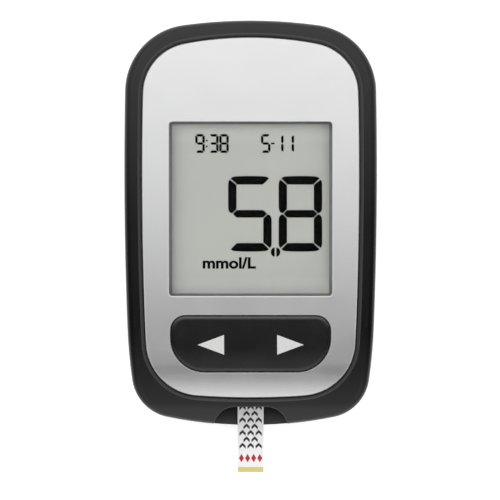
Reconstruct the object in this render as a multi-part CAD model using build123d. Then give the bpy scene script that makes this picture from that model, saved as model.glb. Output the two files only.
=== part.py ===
from build123d import *
import os
from math import asin, atan2, cos, degrees, hypot, sin, sqrt

# Blood glucose meter lying on its back. Sizes are in millimetres. +X is right, +Y is away from
# the test strip, +Z is out of the display and z = 0 is the flat back that the meter rests on.

# ---- Case: outline seen from the front, wide arcs with rounded corners ----
case_width = 48.6
case_length = 77.9
case_thickness = 15.3
widest_y = 10.5  # where the long sides bulge most
top_end_radius = 96.0
side_radius = 785.0
taper_start_y = -20.0  # below this the sides turn in more towards the strip
taper_radius = 100.0
strip_end_radius = 80.0
top_corner_radius = 12.9
strip_corner_radius = 8.5

# ---- Case: crowned front that rolls down towards the strip ----
crown_radius = 600.0
crown_apex_y = 5.0
roll_radius = 42.0
roll_length = 11.8  # from the strip end to the start of the roll
front_edge_radius = 1.6
back_edge_radius = 4.2

# ---- Case: shells ----
wall = 1.6
floor_thickness = 1.6
split_height = 6.0  # the seam between the two shells
front_skin = 2.7
seam_bevel = 0.15
lip_height = 0.9
lip_inset = 0.9
lip_clearance = 0.1

# ---- Faceplate in its recess ----
bezel_side = 3.4
bezel_top = 3.26
bezel_strip_end = 5.36
plate_widest_y = 9.5
plate_top_radius = 67.8
plate_side_radius = 699.0
plate_strip_radius = 139.4
plate_top_corner = 9.8
plate_strip_corner = 10.6
plate_gap = 0.3
plate_sink = 0.15
plate_thickness = 1.0
glue_gap = 0.05
plate_edge_bevel = 0.15
lip_bevel = 0.45

# ---- Display window and lens ----
window_width = 31.3
window_from_top = 19.45
window_to_key = 3.9
window_corner = 0.7
lens_overlap = 1.2
lens_thickness = 0.8
lens_clearance = 0.12
lens_ledge = 0.3  # how far the skin's opening stands back from the window

# ---- Rocker key and its pivot ----
key_width = 30.45
key_height = 10.5
key_from_strip_end = 10.5
key_top_corner = 2.7
key_bottom_corner = 6.35
key_rise = 0.45
key_edge_round = 0.65
key_wall = 1.2
key_skirt_z = 10.2
key_gap = 0.2
pivot_z = 10.9
pivot_radius = 0.6
pivot_reach = 1.4
pivot_clearance = 0.06
pivot_rib_width = 4.4
pivot_rib_thickness = 0.9
pivot_rib_gap = 0.35
pivot_rib_z = 9.9
plunger_radius = 1.5
plunger_x = 8.5
arrow_tip_x = 10.2
arrow_base_x = 5.1
arrow_half_height = 1.9
arrow_drop = 0.2  # how far the arrows lie below the key's middle
arrow_depth = 0.4

# ---- Circuit board ----
board_bottom_z = 8.0
board_thickness = 1.0
board_inset = 4.0
board_end_gap = 0.5
screw_radius = 0.8
screw_length = 3.6
screw_clearance = 0.05
screw_hole_clearance = 0.2
screw_head_radius = 1.7
screw_head_height = 1.1
screw_head_bevel = 0.4
screw_drive_width = 0.5
screw_drive_length = 1.9
screw_drive_depth = 0.6
boss_radius = 2.1
upper_boss_from_side = 8.0
upper_boss_from_top = 10.3
lower_boss_from_side = 12.7
lower_boss_from_strip_end = 7.2

# ---- Key domes ----
dome_radius = 3.2
dome_shoulder_radius = 1.9
dome_shoulder_height = 0.27
dome_height = 0.35
dome_sheet = 0.1
dome_clearance = 0.05

# ---- Display module ----
glass_margin = 1.5
glass_bottom_margin = 1.25
rear_glass_top_margin = 0.5
contact_ledge = 3.0
glass_thickness = 0.7
polariser_thickness = 0.2
reflector_thickness = 0.15
display_gap = 0.1
tray_wall = 0.9
tray_corner = 0.9
tray_clearance = 0.1
zebra_width = 30.0
zebra_depth = 2.2

# ---- Thumb notch and strip slot ----
notch_half_width = 7.2
notch_depth = 3.6
notch_corner = 4.2
notch_wall = 1.4
slot_side_clearance = 0.25
slot_height = 0.9
slot_flare = 1.1  # how much wider the funnel is at its mouth, each side
slot_lead = 0.9
trough_depth = 0.5

# ---- Strip connector ----
connector_width = 11.2
connector_bottom_z = 4.6
connector_gap = 0.2
connector_back_wall = 0.8
connector_corner = 0.4
connector_play = 0.15
contact_count = 5
contact_pitch = 0.9
contact_width = 0.45
contact_sheet = 0.15
contact_window = 6.6
finger_margin = 0.8
finger_toe = 1.2
finger_toe_lift = 0.5
finger_reach = 2.2
finger_foot = 1.2
finger_bend = 0.25

# ---- Test strip ----
strip_width = 5.0
strip_reach = 9.1  # how far the strip stands out past the case
strip_length = 27.5
strip_lift = 0.1
strip_base_thickness = 0.22
electrode_thickness = 0.04
electrode_width = 0.5
spacer_thickness = 0.1
cover_thickness = 0.14
strip_corner_bevel = 0.5
bare_length = 7.5
tip_length = 1.0
channel_width = 1.0
channel_length = 3.5

# ---- Coin cell ----
cell_radius = 10.0
cell_height = 3.2
cell_y = 15.5
cell_bottom_z = 1.85
can_sheet = 0.3
can_height = 2.9
can_edge_bevel = 0.25
cap_radius = 8.9
cap_edge_bevel = 0.3
seal_clearance = 0.02

# ---- Battery compartment ----
well_half_width = 13.4
well_margin = 2.8
well_clearance = 0.35
well_roof_z = 5.25
well_roof = 1.0
well_corner = 2.4

# ---- Battery door ----
door_width = 24.4
door_length = 26.6
door_from_cell = 13.3
door_corner = 2.4
door_gap = 0.25
door_sink = 0.15
door_thickness = 1.2
door_edge_bevel = 0.2
door_seat_gap = 0.05
tongue_x = 7.6
tongue_width = 4.0
tongue_reach = 2.0
tongue_root = 1.2
tongue_lift = 0.15
tongue_thickness = 0.8
tongue_clearance = 0.35
pad_height = 0.45
pad_width = 1.2
pad_length = 12.0
pad_x = 5.0

# ---- Battery door latch ----
latch_width = 8.0
latch_sheet = 0.8
latch_span = 1.6
latch_height = 3.9
latch_hook = 0.85
latch_clearance = 0.3
latch_bend = 0.75
scoop_length = 4.2
scoop_depth = 0.95

# ---- Battery contacts ----
spring_sheet = 0.2
spring_width = 3.0
spring_bend = 0.3
cap_spring_foot = 3.0
cap_spring_run = 4.0
cap_spring_toe = 1.5
cap_spring_toe_lift = 0.5
cap_spring_window = 5.0
can_spring_foot = 4.0
can_spring_stand_off = 1.2
can_spring_knee_off = 0.9
can_spring_knee_rise = 1.6
can_spring_touch_rise = 0.2
can_spring_toe_off = 0.4
can_spring_toe_drop = 0.6
can_spring_bend = 0.2
can_spring_window = 2.35

# ---- Snap arms that hold the shells together ----
snap_positions = (20.0, -12.0)
snap_width = 6.0
snap_thickness = 1.1
snap_gap = 0.6
snap_hook = 0.45
snap_tip_z = 3.3
snap_hook_z = 4.3
snap_root_z = 7.6
catch_height = 0.85
catch_clearance = 0.1

# ---- Chips under the board: width, length and height, and where their centres lie ----
chip_bevel = 0.1
processor_size = (7.0, 7.0, 1.0)
processor_from_side = 11.7
processor_below_well = 6.1
measuring_size = (5.0, 5.0, 0.9)
measuring_from_side = 17.2
measuring_below_resistors = 0.25
memory_size = (5.0, 4.0, 1.1)
memory_from_side = 8.2
memory_below_well = 4.6
crystal_size = (3.2, 1.5, 0.8)
crystal_from_side = 5.0
crystal_below_well = 0.6
resistor_size = (1.6, 0.8, 0.45)
resistor_pitch = 1.6
resistor_count = 6
resistor_from_side = 17.2
resistor_below_well = 0.2
capacitor_size = (3.5, 2.8, 1.4)
capacitor_pitch = 4.6
capacitor_count = 2
capacitor_from_side = 9.7
capacitor_below_well = 12.1

# ---- Making the shapes ----
overcut = 1.6  # how far a cutting shape runs past what it cuts

# ---- Places worked out from the sizes above ----
top_y = case_length / 2
strip_end_y = -case_length / 2
roll_start_y = strip_end_y + roll_length
crown_centre_z = case_thickness - crown_radius
roll_lean = asin((roll_start_y - crown_apex_y) / crown_radius)
roll_centre_y = crown_apex_y + (crown_radius - roll_radius) * sin(roll_lean)
roll_centre_z = crown_centre_z + (crown_radius - roll_radius) * cos(roll_lean)
plate_seat = plate_sink + plate_thickness + glue_gap
lens_seat = plate_seat + lens_thickness + glue_gap
key_bottom_y = strip_end_y + key_from_strip_end
key_centre_y = key_bottom_y + key_height / 2
window_top = top_y - window_from_top
window_bottom = key_bottom_y + key_height + window_to_key
window_height = window_top - window_bottom
board_top_z = board_bottom_z + board_thickness
board_side = case_width / 2 - board_inset
root_depth = (front_skin + plate_seat) / 2  # posts and ribs end inside the front's skin
notch_top_y = strip_end_y + notch_depth
inner_notch_y = notch_top_y + notch_wall
strip_tip_y = strip_end_y - strip_reach
strip_back_y = strip_tip_y + strip_length
strip_z = split_height + strip_lift
electrode_z = strip_z + strip_base_thickness
spacer_z = electrode_z + electrode_thickness
cover_z = spacer_z + spacer_thickness
door_hinge_y = cell_y - door_from_cell
door_free_y = door_hinge_y + door_length
door_inner_z = door_sink + door_thickness
well_foot_y = door_hinge_y - tongue_reach - wall
upper_boss = (case_width / 2 - upper_boss_from_side, top_y - upper_boss_from_top)
lower_boss = (case_width / 2 - lower_boss_from_side, strip_end_y + lower_boss_from_strip_end)
bosses = [(side * x, y) for x, y in (upper_boss, lower_boss) for side in (-1, 1)]
processor_place = (processor_from_side - board_side, well_foot_y - processor_below_well)
memory_place = (board_side - memory_from_side, well_foot_y - memory_below_well)
crystal_place = (crystal_from_side - board_side, well_foot_y - crystal_below_well)
resistor_place = (resistor_from_side - board_side, well_foot_y - resistor_below_well)
resistor_row_end = resistor_place[1] - (resistor_count - 1) * resistor_pitch - resistor_size[1] / 2
measuring_y = resistor_row_end - measuring_below_resistors - measuring_size[1] / 2
measuring_place = (board_side - measuring_from_side, measuring_y)
capacitor_place = (board_side - capacitor_from_side, well_foot_y - capacitor_below_well)


# ---- Shared shapes ----
def span_box(x_limits, y_limits, z_limits):
    # a block between two limits on each axis
    size = [high - low for low, high in (x_limits, y_limits, z_limits)]
    middle = [(high + low) / 2 for low, high in (x_limits, y_limits, z_limits)]
    return Pos(*middle) * Box(*size)


def prism(outline, low, high):
    # a flat outline raised from one height to another
    return extrude(Pos(0, 0, low) * outline, high - low)


def corner_disc(first, second, radius):
    # the small disc that touches two wide discs from inside, in the corner of their overlap
    (x1, y1, r1), (x2, y2, r2) = first, second
    span = hypot(x2 - x1, y2 - y1)
    reach = r1 - radius
    along = (reach**2 - (r2 - radius) ** 2 + span**2) / (2 * span)
    aside = sqrt(reach**2 - along**2)
    ux, uy = (x2 - x1) / span, (y2 - y1) / span
    right_x = x1 + along * ux + aside * abs(uy)
    step_y = aside * ux if uy < 0 else -aside * ux
    return right_x, y1 + along * uy + step_y, radius


def touch_point(first, second, inset):
    # where two discs of which one lies inside the other touch, moved inwards by inset
    big, small = sorted((first, second), key=lambda disc: -disc[2])
    centre = Vector(big[0], big[1])
    towards = Vector(small[0], small[1]) - centre
    return centre + towards.normalized() * (big[2] - inset)


def arc_angle(disc, point):
    # direction from a disc's centre to a point, in degrees
    return degrees(atan2(point.Y - disc[1], point.X - disc[0]))


def arc_outline(discs, inset):
    # a symmetric outline: `discs` are those of its arcs from the top down the right side to the
    # strip end, each touching the next; inset moves it all inwards
    touches = [touch_point(first, second, inset) for first, second in zip(discs, discs[1:])]
    arcs = []
    for disc, upper, lower in zip(discs[1:], touches, touches[1:]):
        low = arc_angle(disc, lower)
        high = arc_angle(disc, upper)
        radius = disc[2] - inset
        arcs.append(CenterArc((disc[0], disc[1]), radius, low, high - low))
        arcs.append(CenterArc((-disc[0], disc[1]), radius, 180 - high, high - low))
    top, strip_end = discs[0], discs[-1]
    high = arc_angle(top, touches[0])
    arcs.append(CenterArc((0, top[1]), top[2] - inset, high, 180 - 2 * high))
    low = arc_angle(strip_end, touches[-1])
    arcs.append(CenterArc((0, strip_end[1]), strip_end[2] - inset, -180 - low, 180 + 2 * low))
    return make_face(arcs)


def side_disc():
    return case_width / 2 - side_radius, widest_y, side_radius


def taper_disc():
    # touches the side's disc where the taper starts
    x, y, radius = side_disc()
    lean = (taper_start_y - y) / radius
    inward = radius - taper_radius
    return x + inward * sqrt(1 - lean**2), y + inward * lean, taper_radius


def case_outline(inset=0.0):
    top = (0, top_y - top_end_radius, top_end_radius)
    strip_end = (0, strip_end_y + strip_end_radius, strip_end_radius)
    upper_corner = corner_disc(top, side_disc(), top_corner_radius)
    lower_corner = corner_disc(taper_disc(), strip_end, strip_corner_radius)
    return arc_outline([top, upper_corner, side_disc(), taper_disc(), lower_corner, strip_end], inset)


def plate_outline(inset=0.0):
    top = (0, top_y - bezel_top - plate_top_radius, plate_top_radius)
    side = (case_width / 2 - bezel_side - plate_side_radius, plate_widest_y, plate_side_radius)
    strip_end = (0, strip_end_y + bezel_strip_end + plate_strip_radius, plate_strip_radius)
    upper_corner = corner_disc(top, side, plate_top_corner)
    lower_corner = corner_disc(side, strip_end, plate_strip_corner)
    return arc_outline([top, upper_corner, side, lower_corner, strip_end], inset)


def window_outline(grow=0.0):
    centre = Pos(0, (window_top + window_bottom) / 2)
    corner = window_corner + max(grow, 0.0)
    return centre * RectangleRounded(window_width + 2 * grow, window_height + 2 * grow, corner)


def key_outline(grow=0.0):
    blank = Pos(0, key_centre_y) * Rectangle(key_width + 2 * grow, key_height + 2 * grow)
    upper_corners = blank.vertices().sort_by(Axis.Y)[-2:]
    blank = fillet(upper_corners, key_top_corner + grow)
    lower_corners = blank.vertices().sort_by(Axis.Y)[:2]
    return fillet(lower_corners, key_bottom_corner + grow)


def notch_outline(grow=0.0):
    # the arch that the thumb and the strip use, open past the strip end
    top = notch_top_y + grow
    foot = strip_end_y - notch_corner
    half_width = notch_half_width + grow
    arch = Pos(0, (top + foot) / 2) * Rectangle(2 * half_width, top - foot)
    return fillet(arch.vertices().sort_by(Axis.Y)[-2:], notch_corner + grow)


def flank_x(y, inset):
    # half width of the case at y, moved inwards by inset
    x, centre_y, radius = side_disc() if y > taper_start_y else taper_disc()
    return x + sqrt((radius - inset) ** 2 - (y - centre_y) ** 2)


def front_z(y, depth=0.0):
    # height of a surface that lies `depth` under the crowned and rolled front
    joint_y = roll_centre_y + (roll_radius - depth) * sin(roll_lean)
    if y < joint_y:
        return roll_centre_z + sqrt((roll_radius - depth) ** 2 - (y - roll_centre_y) ** 2)
    return crown_centre_z + sqrt((crown_radius - depth) ** 2 - (y - crown_apex_y) ** 2)


def under_front(depth):
    # everything under the surface that lies `depth` below the front, as a bar across the case
    end = case_length / 2 + overcut
    joint_y = roll_centre_y + (roll_radius - depth) * sin(roll_lean)
    stations = [-end, (joint_y - end) / 2, joint_y, (joint_y + end) / 2, end]
    points = [(y, front_z(y, depth)) for y in stations]
    roll = ThreePointArc(points[0], points[1], points[2])
    crown = ThreePointArc(points[2], points[3], points[4])
    rest = Polyline(points[4], (end, -overcut), (-end, -overcut), points[0])
    profile = make_face(Plane.YZ * (roll + crown + rest))
    return extrude(profile, case_width, both=True)


def front_band(outline, upper_depth, lower_depth):
    # a sheet that follows the front between two depths under it
    column = prism(outline, split_height, case_thickness + overcut)
    return (column & under_front(upper_depth)) - under_front(lower_depth)


def turned(points):
    # a solid turned about the Z axis from (radius, height) points
    profile = make_face(Plane.XZ * Polyline(*points, close=True))
    return revolve(profile, Axis.Z)


def bent_sheet(points, sheet, width, plane, bend):
    # sheet that follows a bent line, `width` across the plane it is drawn in
    line = FilletPolyline(*points, radius=bend)
    return extrude(plane * trace(line, sheet), width / 2, both=True)


# ---- Case ----
def front_housing():
    shell = prism(case_outline(), split_height, case_thickness + overcut) & under_front(0)
    curved = shell.edges().filter_by(GeomType.LINE, reverse=True)
    rim = curved.filter_by(lambda edge: edge.bounding_box().min.Z > split_height + wall)
    shell = fillet(rim, front_edge_radius)
    shell = chamfer(shell.faces().sort_by(Axis.Z)[0].edges(), seam_bevel)
    hollow = prism(case_outline(wall), 0, case_thickness) & under_front(front_skin)
    notch_lining = prism(notch_outline(notch_wall), split_height, case_thickness)
    shell = shell - (hollow - notch_lining)
    shell = shell - (prism(plate_outline(-plate_gap), 0, 2 * case_thickness) - under_front(plate_seat))
    shell = bevel_recess_lip(shell)
    shell = shell - front_openings()
    shell = shell + board_bosses() + pivot_ribs() + snap_arms()
    pivot_hole = key_axle(pivot_radius + pivot_clearance, key_height + 2 * pivot_reach + pivot_rib_gap)
    shell = shell - pivot_hole
    shell = shell - prism(notch_outline(), 0, case_thickness) - lip_rebate()
    shell = shell - strip_slot() - slot_funnel()
    for x, y in bosses:
        pilot = Pos(x, y, board_bottom_z) * Cylinder(
            screw_radius + screw_clearance,
            screw_length + 2 * screw_clearance,
            align=(Align.CENTER, Align.CENTER, Align.MIN),
        )
        shell = shell - pilot
    return shell


def bevel_recess_lip(shell):
    # the small bevel that catches the light around the faceplate's recess
    recess_wire = plate_outline(-plate_gap).wires()[0]
    lip = []
    for edge in shell.edges():
        middle = edge @ 0.5
        on_front = abs(middle.Z - front_z(middle.Y)) < glue_gap
        if on_front and recess_wire.distance_to(Vector(middle.X, middle.Y, 0)) < glue_gap:
            lip.append(edge)
    return chamfer(lip, lip_bevel)


def front_openings():
    top = case_thickness + overcut
    pocket = prism(window_outline(lens_overlap + lens_clearance), board_top_z, top)
    sight = prism(window_outline(lens_ledge), board_top_z, top)
    key_hole = prism(key_outline(key_gap), board_top_z, top)
    return (pocket - under_front(lens_seat)) + sight + key_hole


def board_bosses():
    # four posts under the front that the board is screwed to
    posts = Part()
    for x, y in bosses:
        posts += prism(Pos(x, y) * Circle(boss_radius), board_top_z, front_z(y, root_depth))
    return posts


def pivot_ribs():
    # two ears that hang from the front and carry the key's pins
    ribs = Part()
    near = key_height / 2 + pivot_rib_gap
    half_width = pivot_rib_width / 2
    for side in (-1, 1):
        inner_y = key_centre_y + side * near
        outer_y = inner_y + side * pivot_rib_thickness
        top = front_z(inner_y, root_depth)
        ribs += span_box((-half_width, half_width), sorted((inner_y, outer_y)), (pivot_rib_z, top))
    return ribs


def key_axle(radius, length):
    # a round bar on the key's pivot axis
    return Pos(0, key_centre_y, pivot_z) * Rot(90, 0, 0) * Cylinder(radius, length)


def snap_arms():
    # hooks that hang down inside the back shell and hold the two shells together
    arms = Part()
    for y in snap_positions:
        inner_wall = flank_x(y, wall)
        outer = inner_wall - snap_gap
        inner = outer - snap_thickness
        top = snap_root_z + snap_thickness
        profile = Polyline(
            (inner, top),
            (inner, snap_tip_z),
            (outer, snap_tip_z),
            (outer + snap_hook, snap_hook_z),
            (outer, snap_hook_z),
            (outer, snap_root_z),
            (inner_wall + wall / 2, snap_root_z),
            (inner_wall + wall / 2, top),
            close=True,
        )
        arm = extrude(Plane.XZ * make_face(profile), snap_width / 2, both=True)
        arm = Pos(0, y, 0) * arm
        arms += arm + mirror(arm, about=Plane.YZ)
    return arms


def strip_slot():
    half_width = strip_width / 2 + slot_side_clearance
    y_limits = (strip_end_y, inner_notch_y + overcut)
    return span_box((-half_width, half_width), y_limits, (0, split_height + slot_height))


def slot_funnel():
    # the slot's mouth in the notch wall, which opens outwards to guide the strip in
    throat_half = strip_width / 2 + slot_side_clearance
    mouth_half = throat_half + slot_flare
    throat_y = notch_top_y + slot_lead
    corners = [
        (-mouth_half, strip_end_y),
        (mouth_half, strip_end_y),
        (mouth_half, notch_top_y),
        (throat_half, throat_y),
        (-throat_half, throat_y),
        (-mouth_half, notch_top_y),
    ]
    return prism(make_face(Polyline(*corners, close=True)), 0, split_height + slot_height)


def strip_trough():
    # the deck is sunk across the notch and ramped up to the slot, so that a fingertip gets under
    # the strip
    half_width = strip_width / 2 + slot_side_clearance + slot_flare
    low = split_height - trough_depth
    sunk_deck = prism(notch_outline(), low, split_height + overcut)
    profile = Polyline(
        (strip_end_y - overcut, split_height + overcut),
        (strip_end_y - overcut, low),
        (notch_top_y, low),
        (notch_top_y + slot_lead, split_height),
        (notch_top_y + slot_lead, split_height + overcut),
        close=True,
    )
    return sunk_deck + extrude(Plane.YZ * make_face(profile), half_width, both=True)


def lip_ring(outer_inset, inner_inset, height):
    # a ring on the seam, left out where the strip enters
    ring = prism(case_outline(outer_inset) - case_outline(inner_inset), split_height, split_height + height)
    half_gap = notch_half_width + notch_wall + wall
    gap_y = (strip_end_y - overcut, inner_notch_y + overcut)
    return ring - span_box((-half_gap, half_gap), gap_y, (0, case_thickness))


def lip_rebate():
    return lip_ring(lip_inset - lip_clearance, wall + lip_clearance, lip_height + lip_clearance)


def rear_housing():
    shell = prism(case_outline(), 0, split_height)
    shell = fillet(shell.faces().sort_by(Axis.Z)[0].edges(), back_edge_radius)
    shell = chamfer(shell.faces().sort_by(Axis.Z)[-1].edges(), seam_bevel)
    hollow = prism(case_outline(wall), floor_thickness, split_height + overcut)
    hollow = chamfer(hollow.faces().sort_by(Axis.Z)[0].edges(), wall)
    shell = shell - hollow
    shell = shell + lip_ring(lip_inset, wall, lip_height) + strip_deck() + snap_catches()
    return shell + battery_well_block() - battery_well_cuts() - strip_trough()


def strip_deck():
    # the shelf under the notch that the strip slides over
    deck = notch_outline(notch_wall) & case_outline(lip_inset)
    return prism(deck, split_height - notch_wall, split_height)


def snap_catches():
    # ledges on the side walls that the snap arms hook under
    catches = Part()
    low = snap_hook_z + catch_clearance
    for y in snap_positions:
        inner_wall = flank_x(y, wall)
        x_limits = (inner_wall - snap_hook, inner_wall + wall / 2)
        half = snap_width / 2 + wall
        ledge = span_box(x_limits, (y - half, y + half), (low, low + catch_height))
        catches += ledge + mirror(ledge, about=Plane.YZ)
    return catches


def battery_well_block():
    # the walls and roof around the coin cell
    y_limits = (well_foot_y, door_free_y + well_margin)
    x_limits = (-well_half_width, well_half_width)
    block = span_box(x_limits, y_limits, (floor_thickness / 2, well_roof_z + well_roof))
    return fillet(block.edges().filter_by(Axis.Z), well_corner)


def battery_well_cuts():
    ledge_z = door_inner_z + door_seat_gap
    opening = prism(door_outline(door_gap), -overcut, ledge_z)
    cell_pocket = prism(Pos(0, cell_y) * Circle(cell_radius + well_clearance), 0, well_roof_z)
    return opening + cell_pocket + tongue_pockets() + latch_pocket() + contact_windows()


def door_outline(grow=0.0):
    centre = Pos(0, (door_hinge_y + door_free_y) / 2)
    return centre * RectangleRounded(door_width + 2 * grow, door_length + 2 * grow, door_corner + grow)


def tongue_top_z():
    return floor_thickness + tongue_lift + tongue_thickness


def tongue_pockets():
    # room above the floor for the door's tongues to swing as the door opens
    swing = sqrt(tongue_reach**2 + (tongue_top_z() - door_sink) ** 2)
    y_limits = (door_hinge_y - tongue_reach - tongue_clearance, door_hinge_y + swing)
    z_limits = (door_inner_z, door_sink + swing + tongue_clearance)
    pockets = Part()
    for side in (-1, 1):
        half = tongue_width / 2 + tongue_clearance
        x_limits = (side * tongue_x - half, side * tongue_x + half)
        pocket = span_box(x_limits, y_limits, z_limits)
        floor = span_box(x_limits, (y_limits[0], door_hinge_y - door_gap), (0, floor_thickness))
        pockets += pocket - floor
    return pockets


def latch_pocket():
    # room for the latch to bend, and a scoop outside for a fingertip
    half = latch_width / 2 + latch_clearance
    y_limits = (latch_inner_y() - latch_sheet, door_free_y + latch_hook + latch_clearance)
    room = span_box((-half, half), y_limits, (floor_thickness, latch_height + latch_sheet))
    scoop_y = door_free_y + door_gap
    under_room = span_box((-half, half), (y_limits[0], scoop_y), (door_inner_z, floor_thickness))
    scoop = span_box((-half, half), (scoop_y - wall, scoop_y + scoop_length), (-overcut, scoop_depth))
    far_end = scoop.edges().filter_by(Axis.X).sort_by(Axis.Y)[-2:].sort_by(Axis.Z)[-1]
    return room + under_room + fillet(far_end, scoop_depth)


def contact_windows():
    roof_top = well_roof_z + well_roof + overcut
    half = spring_width / 2 + well_clearance
    cap_y_limits = (cell_y - cap_spring_window / 2, cell_y + cap_spring_run + well_clearance)
    over_cap = span_box((-half, half), cap_y_limits, (well_roof_z - overcut, roof_top))
    side_x_limits = (-cell_radius - can_spring_window, -cell_radius)
    side_z_limits = (door_inner_z + door_thickness, roof_top)
    beside_can = span_box(side_x_limits, (cell_y - half, cell_y + half), side_z_limits)
    return over_cap + beside_can


def faceplate():
    plate = front_band(plate_outline(), plate_sink, plate_sink + plate_thickness)
    plate = plate - prism(window_outline(), 0, 2 * case_thickness)
    plate = plate - prism(key_outline(key_gap), 0, 2 * case_thickness)
    top_edges = []
    for edge in plate.edges():
        middle = edge @ 0.5
        on_top = abs(middle.Z - front_z(middle.Y, plate_sink)) < glue_gap
        if on_top and not (edge.geom_type == GeomType.LINE and is_roll_seam(middle.Y)):
            top_edges.append(edge)
    return chamfer(top_edges, plate_edge_bevel)


def is_roll_seam(y):
    # true on the line across the front where the crown turns into the roll
    return abs(y - roll_start_y) < lip_bevel


def display_lens():
    return front_band(window_outline(lens_overlap), plate_seat, plate_seat + lens_thickness)


# ---- Rocker key ----
def rocker_key():
    body = prism(key_outline(), key_skirt_z, 2 * case_thickness) & under_front(-key_rise)
    rim = [edge for edge in body.edges() if is_key_rim(edge)]
    body = fillet(rim, key_edge_round)
    hollow = prism(key_outline(-key_wall), 0, case_thickness) & under_front(key_wall - key_rise)
    body = body - hollow
    body = body + key_ribs()
    length = key_height + 2 * pivot_reach
    pins = key_axle(pivot_radius, length) - key_axle(pivot_radius, key_height - key_wall)
    body = body + pins
    for side in (-1, 1):
        body = body - arrow_inlay(side)
    return body


def is_key_rim(edge):
    middle = edge @ 0.5
    on_top = abs(middle.Z - front_z(middle.Y, -key_rise)) < glue_gap
    return on_top and not (edge.geom_type == GeomType.LINE and is_roll_seam(middle.Y))


def key_ribs():
    # the plungers over the two domes, and the spine that joins them to the end walls
    plunger_z = board_top_z + dome_height + dome_clearance
    ribs = Part()
    for side in (-1, 1):
        plunger = Pos(side * plunger_x, key_centre_y) * Circle(plunger_radius)
        ribs += prism(plunger, plunger_z, case_thickness)
    half_spine = key_width / 2 - key_wall / 2
    spine_y = (key_centre_y - key_wall / 2, key_centre_y + key_wall / 2)
    ribs += span_box((-half_spine, half_spine), spine_y, (key_skirt_z, case_thickness))
    return ribs & under_front(key_wall / 2 - key_rise)


def arrow_inlay(side):
    # white triangle let into the key, pointing outwards
    centre_y = key_centre_y - arrow_drop
    tip = (side * arrow_tip_x, centre_y)
    upper = (side * arrow_base_x, centre_y + arrow_half_height)
    lower = (side * arrow_base_x, centre_y - arrow_half_height)
    outline = make_face(Polyline(tip, upper, lower, close=True))
    return front_band(outline, -key_rise, arrow_depth - key_rise)


def key_dome(side):
    # snap dome: a thin dished sheet with a sloped rim and a flatter crown
    inner_height = dome_height - dome_sheet
    shoulder_inner_height = dome_shoulder_height - dome_sheet
    dome = turned(
        [
            (0, inner_height),
            (dome_shoulder_radius, shoulder_inner_height),
            (dome_radius, 0),
            (dome_radius, dome_sheet),
            (dome_shoulder_radius, dome_shoulder_height),
            (0, dome_height),
        ]
    )
    return Pos(side * plunger_x, key_centre_y, board_top_z) * dome


# ---- Circuit board and what is on it ----
def circuit_board():
    outline = case_outline(board_inset)
    low = inner_notch_y + board_end_gap
    outline = outline & (Pos(0, low + case_length / 2) * Rectangle(case_width, case_length))
    for x, y in bosses:
        outline = outline - Pos(x, y) * Circle(screw_radius + screw_hole_clearance)
    return prism(outline, board_bottom_z, board_top_z)


def board_screws():
    # four pan-head screws that hold the board to the front housing
    screws = []
    for x, y in bosses:
        head_top = board_bottom_z
        head_bottom = head_top - screw_head_height
        head = prism(Pos(x, y) * Circle(screw_head_radius), head_bottom, head_top)
        head = chamfer(head.faces().sort_by(Axis.Z)[0].edges(), screw_head_bevel)
        cross = Rectangle(screw_drive_length, screw_drive_width)
        cross += Rectangle(screw_drive_width, screw_drive_length)
        head = head - prism(Pos(x, y) * cross, head_bottom, head_bottom + screw_drive_depth)
        shank = prism(Pos(x, y) * Circle(screw_radius), head_top, head_top + screw_length)
        screws.append(head + shank)
    return Compound(screws)


def chip(place, size):
    # a chip under the board
    x, y = place
    width, length, height = size
    body = Pos(x, y, board_bottom_z - height / 2) * Box(width, length, height)
    return chamfer(body.faces().sort_by(Axis.Z)[0].edges(), chip_bevel)


def chip_row(place, size, pitch, count, step):
    # equal chips in a row, stepping along X or Y
    chips = []
    for index in range(count):
        offset = index * pitch
        centre = (place[0] + step[0] * offset, place[1] + step[1] * offset)
        chips.append(chip(centre, size))
    return Compound(chips)


# ---- Display module ----
def display_levels():
    # heights of the display's sheets, from the polariser's top downwards
    polariser_top = front_z(window_bottom - glass_bottom_margin, front_skin) - display_gap
    front_top = polariser_top - polariser_thickness
    rear_top = front_top - glass_thickness
    reflector_top = rear_top - glass_thickness
    tray_floor = reflector_top - reflector_thickness
    return polariser_top, front_top, rear_top, reflector_top, tray_floor


def glass_sheet(top_margin, low, high):
    half_width = window_width / 2 + glass_margin
    y_limits = (window_bottom - glass_bottom_margin, window_top + top_margin)
    return span_box((-half_width, half_width), y_limits, (low, high))


def front_glass_margin():
    return rear_glass_top_margin + contact_ledge


def display_tray():
    # white holder: a floor under the reflector and a low wall around the glass
    polariser_top, front_top, rear_top, reflector_top, tray_floor = display_levels()
    half_width = window_width / 2 + glass_margin + tray_clearance
    bottom = window_bottom - glass_bottom_margin - tray_clearance
    top = window_top + front_glass_margin() + tray_clearance
    outside = span_box(
        (-half_width - tray_wall, half_width + tray_wall),
        (bottom - tray_wall, top + tray_wall),
        (board_top_z, front_top),
    )
    outside = fillet(outside.edges().filter_by(Axis.Z), tray_corner)
    inside = span_box((-half_width, half_width), (bottom, top), (tray_floor, case_thickness))
    half_slot = zebra_width / 2 + tray_clearance
    half_depth = zebra_depth / 2 + tray_clearance
    slot_y = (zebra_y() - half_depth, zebra_y() + half_depth)
    return outside - inside - span_box((-half_slot, half_slot), slot_y, (0, case_thickness))


def zebra_y():
    return window_top + rear_glass_top_margin + contact_ledge / 2


def zebra_strip():
    # rubber connector between the board and the underside of the front glass
    rear_top = display_levels()[2]
    y_limits = (zebra_y() - zebra_depth / 2, zebra_y() + zebra_depth / 2)
    return span_box((-zebra_width / 2, zebra_width / 2), y_limits, (board_top_z, rear_top))


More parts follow.
